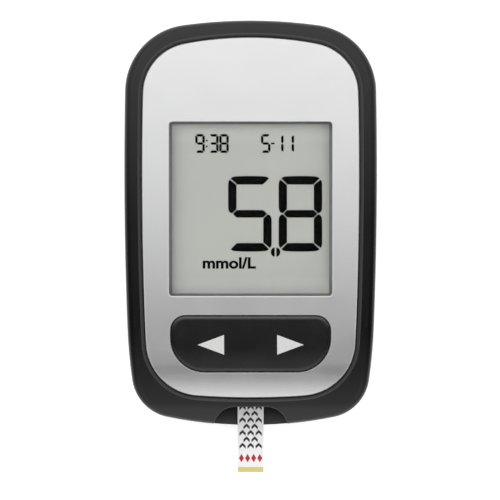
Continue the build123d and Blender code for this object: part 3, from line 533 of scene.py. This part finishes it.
screwSteel = dict(
    dark=(0.42, 0.42, 0.43), pale=(0.62, 0.62, 0.62), grain=0.2 * mm, sheenLow=0.28, sheenHigh=0.42,
)
springSteel = dict(
    dark=(0.52, 0.51, 0.49), pale=(0.70, 0.69, 0.67), grain=0.3 * mm, sheenLow=0.22, sheenHigh=0.36,
    stretch=(1, 0.1, 1),
)
contactGold = dict(
    dark=(0.66, 0.46, 0.14), pale=(0.88, 0.66, 0.26), grain=0.15 * mm, sheenLow=0.2, sheenHigh=0.34,
)


def cellSteel():
    # nickelled steel, turned: rings about the cell's axis, from noise read along the radius
    look = dict(
        dark=(0.56, 0.56, 0.55), pale=(0.70, 0.70, 0.69), ring=0.05 * mm, reliefDepth=0.001 * mm,
        stain=3 * mm, sheenLow=0.22, sheenHigh=0.36,
    )
    centre = middle("cell_can")
    shader = Shader("nickelled_cell_steel")
    flat = shader.place(offset=(-centre.x, -centre.y, 0), stretch=(1, 1, 0))
    length = shader.add("ShaderNodeVectorMath", operation="LENGTH")
    shader.join(flat, length.inputs[0])
    radius = shader.add("ShaderNodeCombineXYZ")
    shader.join(length.outputs["Value"], radius.inputs["X"])
    rings = shader.noise(look["ring"], detail=3, coords=radius.outputs["Vector"])
    shader.feed("Base Color", shader.colour(rings, look["dark"], look["pale"]))
    shader.sheen(shader.noise(look["stain"], detail=3), look)
    shader.set(Metallic=1.0)
    shader.bump(rings, look["reliefDepth"])
    return shader.material


chipCompound = dict(
    dark=(0.012, 0.012, 0.012), pale=(0.03, 0.03, 0.031),
    grain=0.08 * mm, sheenLow=0.5, sheenHigh=0.68, reliefDepth=0.005 * mm,
)
connectorPlastic = dict(
    dark=(0.012, 0.012, 0.013), pale=(0.035, 0.035, 0.037), grain=0.3 * mm, stretch=(1, 0.2, 1),
    sheenLow=0.42, sheenHigh=0.55, reliefDepth=0.003 * mm,
)
sealPlastic = dict(
    dark=(0.05, 0.05, 0.06), pale=(0.10, 0.10, 0.11), grain=0.3 * mm, stretch=(1, 0.2, 1),
    sheenLow=0.4, sheenHigh=0.5, reliefDepth=0.003 * mm,
)


# finishes of the test strip
def stripFilm():
    # white film whose coat varies finely and drifts broadly
    look = dict(
        coatDark=(0.90, 0.90, 0.895), coatPale=(0.95, 0.95, 0.945), coat=0.2 * mm,
        driftDark=(0.91, 0.91, 0.905), driftPale=(0.95, 0.95, 0.94), drift=3 * mm, driftShare=0.5,
        sheenLow=0.32, sheenHigh=0.42, reliefDepth=0.0015 * mm,
    )
    shader = Shader("strip_white_film")
    coat = shader.noise(look["coat"], detail=3)
    fine = shader.colour(coat, look["coatDark"], look["coatPale"])
    broad = shader.colour(shader.noise(look["drift"]), look["driftDark"], look["driftPale"])
    shader.feed("Base Color", shader.mix(look["driftShare"], fine, broad))
    shader.sheen(coat, look)
    shader.bump(coat, look["reliefDepth"])
    return shader.material


# film and print of the strip have the same slight unevenness and differ in colour
stripInk = dict(grain=0.15 * mm, sheenLow=0.38, sheenHigh=0.5, reliefDepth=0.001 * mm)
stripYellow = dict(stripInk, dark=(0.66, 0.555, 0.19), pale=(0.775, 0.665, 0.265))
stripGrey = dict(stripInk, dark=(0.010, 0.010, 0.011), pale=(0.026, 0.026, 0.028))
stripRed = dict(stripInk, dark=(0.44, 0.012, 0.020), pale=(0.58, 0.020, 0.032))

finishes = {
    "case_plastic": casePlastic("moulded_case_plastic", frontPaintedHighlight),
    "silver_paint": silverPaint(),
    "clear_plastic": clearPlastic(),
    "white_plastic": whitePlastic(),
    "polariser_film": polariserFilm(),
    "display_glass": displayGlass(),
    "reflector_film": reflectorFilm(),
    "zebra_rubber": zebraRubber(),
    "board_laminate": boardLaminate(),
    "screw_steel": metal("zinc_screw_steel", screwSteel),
    "chip_plastic": plainFinish("chip_moulding_compound", chipCompound),
    "chip_ceramic": tinEnds("capacitor_ceramic", capacitorLook, capacitorRows),
    "bright_metal": metal("spring_steel", springSteel),
    "key_plastic": keyPlastic(),
    "arrow_white": plainFinish("moulded_arrow_white", arrowWhite),
    "connector_plastic": plainFinish("connector_plastic", connectorPlastic),
    "contact_gold": metal("contact_gold", contactGold),
    "strip_film": stripFilm(),
    "strip_yellow": plainFinish("strip_yellow_edge", stripYellow),
    "cell_steel": cellSteel(),
    "seal_plastic": plainFinish("cell_seal_plastic", sealPlastic),
}
ownFinish = {
    "chip_resistors": tinEnds("resistor_ceramic", resistorLook, resistorRows),
    "rear_housing": casePlastic("moulded_rear_plastic", notchPaintedLightAndShade),
}
for name, node in nodes.items():
    for slot in node.material_slots:
        slot.material = ownFinish.get(name) or finishes[slot.material.name.split(".")[0]]
print("finishes on the CAD nodes:", len(finishes) + len(ownFinish))


# flat printed shapes: each one is a pair of points (x, y in millimetres) and faces
def band(inner, outer):
    # quads between two lines that have the same number of points: face k joins the points k and
    # k + 1 of both lines
    count = len(inner)
    points = np.vstack([inner, outer])
    index = np.arange(count - 1)
    faces = np.stack([index, index + 1, index + 1 + count, index + count], axis=1)
    return points, faces


def turnedOver(shape, flipX, flipY):
    # mirror image: x and y change sign where they are flipped
    points, faces = shape
    return points * np.array([-1 if flipX else 1, -1 if flipY else 1]), faces


def placed(shape, x, y):
    # moved by (x, y), with each face's corners ordered so that it points up: with u and v from its
    # first corner to its second and third, the cross product ux * vy - uy * vx is positive
    points, faces = shape
    first, second, third = (points[faces[:, corner]] for corner in (0, 1, 2))
    u, v = second - first, third - first
    area = u[:, 0] * v[:, 1] - u[:, 1] * v[:, 0]
    faces = np.where((area < 0)[:, None], faces[:, ::-1], faces)
    return points + np.array([x, y]), faces


def inkPiece(name, mesh, finish, thickness):
    # a sheet of ink as a piece of its own, with its thickness below the mesh
    mesh.materials.clear()
    mesh.materials.append(finish)
    piece = bpy.data.objects.new(name, mesh)
    bpy.context.scene.collection.objects.link(piece)
    wall = piece.modifiers.new("ink thickness", "SOLIDIFY")
    wall.thickness = thickness
    wall.offset = -1
    return piece


def printedPiece(name, shapes, top, thickness, finish, body):
    # joins flat shapes into one closed sheet that lies on the height `top`
    starts = np.cumsum([0] + [len(points) for points, faces in shapes])
    flat = np.vstack([points for points, faces in shapes]) * mm
    corners = np.vstack([faces + start for (points, faces), start in zip(shapes, starts)])
    vertices = np.column_stack([flat, np.full(len(flat), top + thickness)])
    mesh = bpy.data.meshes.new(name)
    mesh.from_pydata(vertices.tolist(), [], corners.tolist())
    piece = inkPiece(name, mesh, finish, thickness)
    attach(piece, body)


# seven-segment digits, drawn about their own centre from three bars and their mirror images
digitBars = {
    "1": "bc", "3": "abcdg", "5": "acdfg", "8": "abcdefg", "9": "abcdfg",
}
barShape = dict(
    points=25,
    mitre=0.7,  # how far a bar's end stands back from the mitre line, as a share of the gap
    crowding=1.6,  # sets the side bar's points closer at its rounded foot
    footRise=0.8,  # height of that foot as a share of the stroke
    blunt=0.002,  # half width left at a sharp tip, in mm
)
cornerInset = 1 - math.sqrt(0.5)  # how far a rounded corner's middle stands back, per unit of radius


def cornerDrop(distance, radius):
    # how far a rounded corner falls away past its tangent point: r - sqrt(r^2 - distance^2)
    past = np.clip(distance, 0, radius)
    return radius - np.sqrt(radius**2 - past**2)


def topBar(style):
    # inner edge straight, outer edge bulged and rounded into both corners:
    # y = h + bulge * (1 - (x / w)^2) - drop(|x| - (w - r))
    w, h, t, r = style["width"] / 2, style["height"] / 2, style["stroke"], style["corner"]
    back = style["gap"] * barShape["mitre"]
    share = np.linspace(-1, 1, barShape["points"])
    x = share * (w - r * cornerInset - back)
    y = h + style["bulge"] * (1 - (x / w) ** 2) - cornerDrop(np.abs(x) - (w - r), r)
    innerX = share * (w - style["sideStroke"] - back)
    inner = np.column_stack([innerX, np.full_like(innerX, h - t)])
    return band(inner, np.column_stack([x, y]))


def upperRightBar(style):
    # from a point beside the middle bar up to the mitre of the top corner; near the middle the
    # inner edge runs at 45 degrees and the outer edge is a quarter ellipse
    w, h, t, r = style["width"] / 2, style["height"] / 2, style["stroke"], style["corner"]
    half = style["sideStroke"] / 2
    foot = style["gap"] * barShape["mitre"]
    share = np.linspace(0, 1, barShape["points"]) ** barShape["crowding"]
    outerY = foot + share * (h - r * cornerInset - 2 * foot)
    rise = np.clip((outerY - foot) / (barShape["footRise"] * t), 0, 1)
    tip = half * (1 - np.sqrt(1 - (1 - rise) ** 2))
    outerX = w - tip - cornerDrop(outerY - (h - r), r)
    innerY = foot + share * (h - t - 2 * foot)
    innerX = w - half - np.minimum(innerY - foot, half)
    return band(np.column_stack([innerX, innerY]), np.column_stack([outerX, outerY]))


def middleBar(style):
    # long hexagon: half its height is the smaller of t / 2 and the distance to the tip
    w, t = style["width"] / 2, style["stroke"]
    reach = w - style["sideStroke"] / 2 - style["gap"] * barShape["mitre"]
    x = np.array([-1, -1 + t / 2 / reach, 0, 1 - t / 2 / reach, 1]) * reach
    half = np.minimum(t / 2, reach - np.abs(x)) + barShape["blunt"]
    return band(np.column_stack([x, -half]), np.column_stack([x, half]))


def digit(character, style, x, y):
    # bars a to g, clockwise from the top, with g in the middle
    top, upperRight = topBar(style), upperRightBar(style)
    bars = dict(
        a=top, b=upperRight, c=turnedOver(upperRight, False, True), d=turnedOver(top, False, True),
        e=turnedOver(upperRight, True, True), f=turnedOver(upperRight, True, False),
        g=middleBar(style),
    )
    return [placed(bars[bar], x, y) for bar in digitBars[character]]


def block(x, y, width, height):
    # rectangle with its centre at (x, y)
    across = np.array([-width / 2, width / 2])
    up = np.full(2, height / 2)
    return placed(band(np.column_stack([across, -up]), np.column_stack([across, up])), x, y)


def splitDot(x, y, radius, gap):
    # two half discs with a gap between them: x = r cos(angle) back to gap / 2, y = r sin(angle)
    steps = 17
    angle = np.linspace(-1, 1, steps) * math.acos(gap / 2 / radius)
    arc = np.column_stack([radius * np.cos(angle), radius * np.sin(angle)])
    chord = np.column_stack([np.full_like(angle, gap / 2), arc[:, 1]])
    half = band(chord, arc)
    return [placed(half, x, y), placed(turnedOver(half, True, False), x, y)]


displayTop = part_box("front_polariser")[1].z
displayY = middle("display_lens").y / mm  # places on the display are in mm from this line
segmentThickness = 0.02 * mm
segmentInk = plainFinish("display_segment_ink", displayInk)


def segments(name, shapes):
    printedPiece(name, shapes, displayTop, segmentThickness, segmentInk, "housing")


def row(style, digits, y):
    # the bars of (character, x) pairs in one line
    return [bar for text, x in digits for bar in digit(text, style, x, displayY + y)]


reading = dict(
    width=8.38, height=14.16, stroke=1.46, sideStroke=1.62, gap=0.12, corner=1.35, bulge=0.20,
    digits=(("5", -0.14), ("8", 9.58)), y=-0.95,
    pointX=4.79, pointY=-8.31, pointRadius=0.92, pointGap=0.30,
)
point = splitDot(
    reading["pointX"], displayY + reading["pointY"], reading["pointRadius"], reading["pointGap"],
)
segments("reading_digits", row(reading, reading["digits"], reading["y"]) + point)

clock = dict(
    width=1.84, height=3.56, stroke=0.46, sideStroke=0.48, gap=0.06, corner=0.5, bulge=0.03,
    digits=(("9", -9.74), ("3", -7.08), ("8", -5.12)), y=12.57,
    colonX=-8.46, colonSpread=0.56, colonWidth=0.36, colonHeight=0.30,
)
clockY = displayY + clock["y"]
colon = [
    block(clock["colonX"], clockY + side * clock["colonSpread"], clock["colonWidth"], clock["colonHeight"])
    for side in (-1, 1)
]
segments("clock_digits", row(clock, clock["digits"], clock["y"]) + colon)

date = dict(
    digits=(("5", 2.90), ("1", 5.42), ("1", 7.44)), dashX=4.26, dashWidth=0.72, dashHeight=0.30,
)
dash = block(date["dashX"], clockY, date["dashWidth"], date["dashHeight"])
segments("date_digits", row(clock, date["digits"], clock["y"]) + [dash])


def unitText():
    # the unit under the reading, set in Blender's own typeface and fitted to its place
    place = dict(text="mmol/L", left=-9.22, right=1.02, base=-11.52, top=-9.28, weight=0.032)
    letters = bpy.data.curves.new("unit_text", "FONT")
    letters.body = place["text"]
    letters.offset = place["weight"]
    letters.resolution_u = 6
    source = bpy.data.objects.new("unit_source", letters)
    bpy.context.scene.collection.objects.link(source)
    bpy.context.view_layer.update()
    evaluated = source.evaluated_get(bpy.context.evaluated_depsgraph_get())
    mesh = bpy.data.meshes.new_from_object(evaluated)
    bpy.data.objects.remove(source)
    mesh.name = "unit_text"
    points = np.empty(len(mesh.vertices) * 3)
    mesh.vertices.foreach_get("co", points)
    points = points.reshape(-1, 3)
    # each point's share of the set line, carried to the line's place on the display
    low, high = points.min(0)[:2], points.max(0)[:2]
    corner = np.array([place["left"], displayY + place["base"]])
    size = np.array([place["right"] - place["left"], place["top"] - place["base"]])
    points[:, :2] = (corner + (points[:, :2] - low) / (high - low) * size) * mm
    points[:, 2] = displayTop + segmentThickness
    mesh.vertices.foreach_set("co", points.ravel())
    piece = inkPiece("unit_text", mesh, segmentInk, segmentThickness)
    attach(piece, "housing")


unitText()


def roundedRectangle(halfX, halfY, radius):
    # closed line: quarter circles about (+-(halfX - r), +-(halfY - r)), and straight runs between
    # them in steps, so that the line can follow a curve
    arcPoints, runSteps = 7, 16
    arcs = []
    for quarter, (sideX, sideY) in enumerate(((1, 1), (-1, 1), (-1, -1), (1, -1))):
        angle = np.radians(90 * quarter + np.linspace(0, 90, arcPoints))
        centre = np.array([sideX * (halfX - radius), sideY * (halfY - radius)])
        arcs.append(centre + radius * np.column_stack([np.cos(angle), np.sin(angle)]))
    runs = [np.linspace(arcs[k][-1], arcs[(k + 1) % 4][0], runSteps + 1)[1:-1] for k in range(4)]
    return np.vstack([part for pair in zip(arcs, runs) for part in pair])


def windowPrintAndShade():
    # grey line printed round the window on the lens's underside, widened inwards as painted shade where
    # the window's edge shades the display; in mm: rings of a rounded rectangle, each point's height taken
    # from the lens's curve
    # z = foot + sqrt(R^2 - (y - crown)^2) - R
    line = dict(
        halfX=15.65, halfY=16.775, corner=0.7, tightest=0.2, inside=0.52, outside=1.0,
        gap=0.006, thickness=0.018,
    )
    curve = dict(radius=598.0, crown=5.0, foot=13.3)
    rings = [
        roundedRectangle(
            line["halfX"] + grow, line["halfY"] + grow, max(line["corner"] + grow, line["tightest"]),
        )
        for grow in (-line["inside"], 0.0, line["outside"])
    ]
    flat = np.vstack(rings) + np.array([0, displayY])
    drop = curve["radius"] - np.sqrt(curve["radius"] ** 2 - (flat[:, 1] - curve["crown"]) ** 2)
    vertices = np.column_stack([flat, curve["foot"] - drop - line["gap"]]) * mm
    count = len(rings[0])
    index = np.arange(count)
    after = (index + 1) % count
    quads = np.stack([index, index + count, after + count, after], axis=1)
    faces = np.vstack([quads + ring * count for ring in range(len(rings) - 1)])
    mesh = bpy.data.meshes.new("window_print_and_shade")
    mesh.from_pydata(vertices.tolist(), [], faces.tolist())
    finish = plainFinish("window_grey_print_and_shade", windowInkAndShade)
    piece = inkPiece("window_print_and_shade", mesh, finish, line["thickness"] * mm)
    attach(piece, "housing")


windowPrintAndShade()
print("display content made")


# print on the test strip: grey arrowheads that point the way in, and red spots by the tip
def chevron(x, y, size):
    # bent line, one stroke tall: its upper edge is y = rise * (1 - |x| / half width)
    across = np.array([-1.0, 0.0, 1.0]) * size["width"] / 2
    upper = size["rise"] * (1 - np.abs(across) / (size["width"] / 2))
    lower = np.column_stack([across, upper - size["stroke"]])
    return placed(band(lower, np.column_stack([across, upper])), x, y)


def lozenge(x, y, size):
    # y = half height * (1 - |x| / half width) and its mirror image, with a blunt tip
    across = np.array([-1.0, 0.0, 1.0]) * size["width"] / 2
    half = size["height"] / 2 * (1 - np.abs(across) / (size["width"] / 2)) + size["blunt"]
    return placed(band(np.column_stack([across, -half]), np.column_stack([across, half])), x, y)


def rowPlaces(count, pitch):
    # `count` places `pitch` apart, centred on 0
    return (np.arange(count) - (count - 1) / 2) * pitch


coverLow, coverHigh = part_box("strip_cover")
coverEnd = coverLow.y / mm
stripInkThickness = 0.01 * mm

marks = dict(
    width=1.20, rise=0.58, stroke=0.58, pitchX=1.56, pitchY=1.24, rows=8, firstRow=4.1,
    counts=(3, 2),  # rows of three and of two take turns
)
shapes = [
    chevron(x, coverEnd + marks["firstRow"] + line * marks["pitchY"], marks)
    for line in range(marks["rows"])
    for x in rowPlaces(marks["counts"][line % 2], marks["pitchX"])
]
greyPrint = plainFinish("strip_grey_print", stripGrey)
printedPiece("strip_marks", shapes, coverHigh.z, stripInkThickness, greyPrint, "test_strip")

spots = dict(width=0.98, height=1.62, blunt=0.002, pitch=1.18, count=4, y=1.72)
shapes = [
    lozenge(x, coverEnd + spots["y"], spots) for x in rowPlaces(spots["count"], spots["pitch"])
]
redPrint = plainFinish("strip_red_print", stripRed)
printedPiece("strip_spots", shapes, coverHigh.z, stripInkThickness, redPrint, "test_strip")
print("strip print made")


# floor, light and camera
def makeFloor():
    # pale floor just under the meter: seen from above it takes the meter's shadow, and every other
    # ray passes through it to the pale lower half of the world
    studio = dict(
        reach=3.0, drop=0.05 * mm, dark=(0.79, 0.79, 0.79), pale=(0.80, 0.80, 0.80),
        paper=1.2 * mm, roughness=0.9, specular=0.1, ownLight=0.62,
    )
    bpy.ops.mesh.primitive_plane_add(size=studio["reach"], location=(0, 0, -studio["drop"]))
    floor = bpy.context.object
    floor.name = "floor"
    shader = Shader("pale_floor")
    paper = shader.noise(studio["paper"])
    shader.feed("Base Color", shader.colour(paper, studio["dark"], studio["pale"]))
    shader.set(Roughness=studio["roughness"], Specular_IOR_Level=studio["specular"])
    shader.set(Emission_Color=(1.0, 1.0, 1.0), Emission_Strength=studio["ownLight"])
    paths = shader.add("ShaderNodeLightPath").outputs
    direct = shader.maths("ADD", paths["Is Camera Ray"], paths["Is Glossy Ray"])
    direct = shader.maths("ADD", direct, paths["Is Transmission Ray"])
    behind = shader.add("ShaderNodeNewGeometry").outputs["Backfacing"]
    seen = shader.maths("MAXIMUM", shader.maths("SUBTRACT", direct, behind), 0.0)
    shader.orClear(seen, surfaceFirst=False)
    floor.data.materials.append(shader.material)


def makeWorld():
    # a graded panel overhead, as stops of (direction along Y, level): bright over the top of the
    # meter, dim over its middle and bright again over the strip, between dimmer walls to the left
    # and right and over a pale ground
    panel = dict(
        glow=[
            (-1.0, 1.00), (-0.65, 1.15), (-0.45, 1.0), (-0.30, 0.52), (-0.21, 0.14), (-0.17, 0.02),
            (-0.11, 0.02), (-0.07, 0.54), (0.0, 0.81), (0.10, 1.05), (0.22, 1.18), (0.42, 1.10),
            (1.0, 1.00),
        ],
        wallStart=0.35, wallEnd=0.80, wallShade=0.55,
        ground=(0.85, 0.85, 0.85), groundStart=0.05, groundEnd=-0.15,
    )
    world = bpy.data.worlds.new("studio")
    bpy.context.scene.world = world
    world.use_nodes = True
    sky = NodeTree(world.node_tree, "Generated")
    overhead = sky.graded(sky.axis("Y"), panel["glow"])
    below = sky.ramp(sky.axis("Z"), 0, 1, panel["groundStart"], panel["groundEnd"])
    sideways = sky.maths("ABSOLUTE", sky.axis("X"))
    wall = sky.ramp(sideways, 1, panel["wallShade"], panel["wallStart"], panel["wallEnd"], smooth=True)
    background = world.node_tree.nodes["Background"]
    sky.join(sky.mix(below, overhead, panel["ground"]), background.inputs["Color"])
    sky.join(wall, background.inputs["Strength"])


softboxes = dict(
    size=0.9,  # sizes and places in metres, power in watts
    key=dict(place=(-0.45, 0.62, 0.85), power=3.5),
    fill=dict(place=(0.45, -0.78, 0.72), power=2.8),
)


def softbox(name, place, power):
    # square lamp turned towards the middle of the meter
    lamp = bpy.data.lights.new(name, "AREA")
    lamp.shape = "SQUARE"
    lamp.size = softboxes["size"]
    lamp.energy = power
    holder = bpy.data.objects.new(name, lamp)
    holder.location = place
    holder.rotation_mode = "QUATERNION"
    holder.rotation_quaternion = (-holder.location).to_track_quat("-Z", "Y")
    holder.visible_glossy = False  # the metal reflects the graded panel alone
    bpy.context.scene.collection.objects.link(holder)


def makeCamera():
    # straight above the display, with the meter upright in the square picture; lengths in mm
    view = dict(across=96.15, distance=2000.0, x=-0.12, y=-5.19, faceZ=13.0, sensor=36.0, nearest=50.0)
    camera = bpy.data.cameras.new("camera")
    camera.sensor_width = view["sensor"]
    camera.lens = view["sensor"] * view["distance"] / view["across"]
    camera.clip_start = view["nearest"] * mm
    holder = bpy.data.objects.new("camera", camera)
    holder.location = (view["x"] * mm, view["y"] * mm, (view["faceZ"] + view["distance"]) * mm)
    bpy.context.scene.collection.objects.link(holder)
    bpy.context.scene.camera = holder


makeFloor()
makeWorld()
softbox("key_softbox", **softboxes["key"])
softbox("fill_softbox", **softboxes["fill"])
makeCamera()
bpy.context.scene.view_settings.view_transform = "Standard"
print("floor, lights and camera ready")
